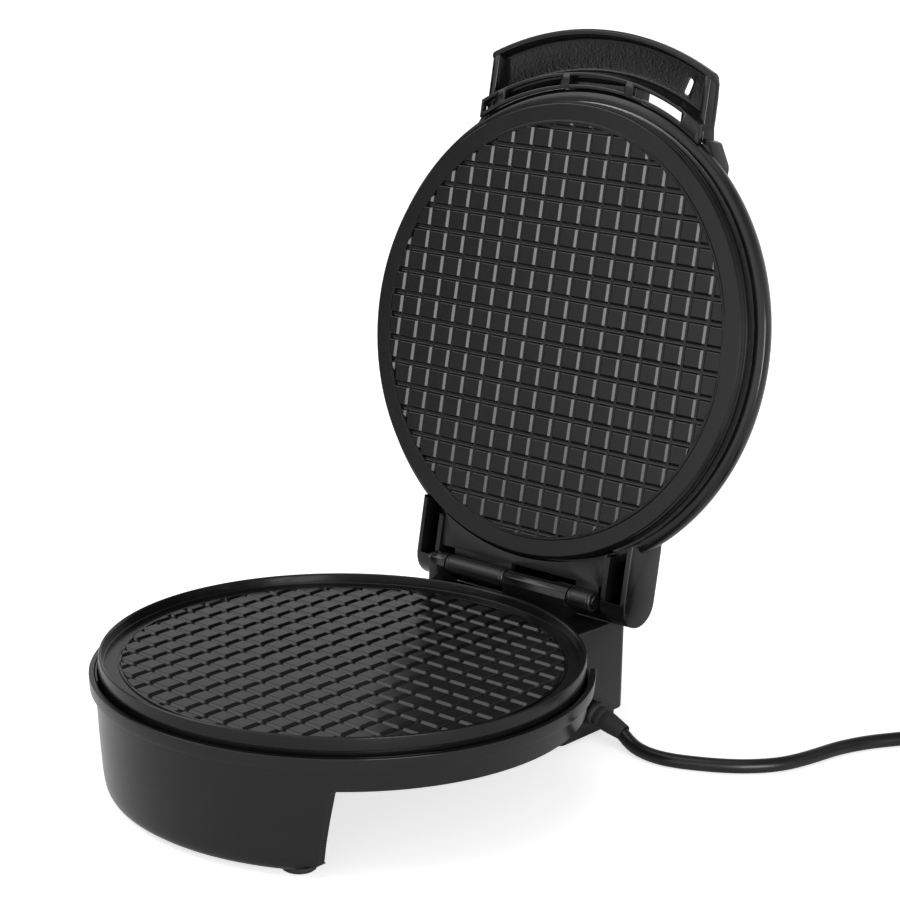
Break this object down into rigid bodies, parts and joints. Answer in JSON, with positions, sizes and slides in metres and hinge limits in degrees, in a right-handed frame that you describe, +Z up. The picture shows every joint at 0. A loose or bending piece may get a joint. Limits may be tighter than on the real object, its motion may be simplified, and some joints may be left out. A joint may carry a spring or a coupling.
{
  "type": "waffle cone maker",
  "caption": "Electric waffle cone maker: round base on a front leg and rear hinge block, grooved plates, hinged round lid with a trough handle, shown open.",
  "frame": {"origin": "centre of the bounding box on the table, measured without the cord", "axes": "+X to the right as the user stands, +Y to the back where the hinge is, +Z up"},
  "size_m": [0.368, 0.3472, 0.2945],
  "materials": {
    "gloss_shell": "glossy black",
    "satin_shell": "satin black",
    "nonstick_plate": "dark non-stick coating",
    "steel": "plain",
    "bare_aluminium": "mill",
    "element_sheath": "oxidised",
    "rubber": "matt",
    "cord_pvc": "satin",
    "lens_red": "clear tint",
    "lens_green": "clear tint",
    "insulator": "ceramic"
  },
  "bodies": {
    "base": {"base_housing": "gloss_shell", "rear_cover": "satin_shell", "foot_front_right": "rubber", "foot_front_left": "rubber", "foot_rear_right": "rubber", "foot_rear_left": "rubber", "cover_screw_right": "steel", "cover_screw_left": "steel", "lower_baking_plate": "nonstick_plate", "lower_heating_element": "element_sheath", "lower_heat_shield": "bare_aluminium", "lower_plate_screw_1": "steel", "lower_plate_screw_2": "steel", "lower_plate_screw_3": "steel", "lower_thermostat": "insulator", "thermal_fuse": "insulator", "terminal_block": "insulator", "strain_relief": "rubber", "cord_clamp": "satin_shell", "hinge_pin": "steel", "hinge_pin_clip": "steel", "power_cord": "cord_pvc", "cord_coil": "cord_pvc", "mains_plug": "cord_pvc"},
    "lid": {"lid_housing": "gloss_shell", "lid_hinge_leaf": "gloss_shell", "upper_baking_plate": "nonstick_plate", "upper_heating_element": "element_sheath", "upper_heat_shield": "bare_aluminium", "upper_plate_screw_1": "steel", "upper_plate_screw_2": "steel", "upper_plate_screw_3": "steel", "upper_thermostat": "insulator", "vent_grille": "gloss_shell", "handle_grip": "gloss_shell", "indicator_pod": "satin_shell", "power_lamp_lens": "lens_red", "ready_lamp_lens": "lens_green", "lamp_carrier": "insulator"}
  },
  "joints": [
    {"name": "lid_hinge", "type": "hinge", "parent": "base", "child": "lid", "pos_m": [0, 0.0726, 0.05965], "axis": [1, 0, 0], "range_deg": [0, 99.9]}
  ]
}
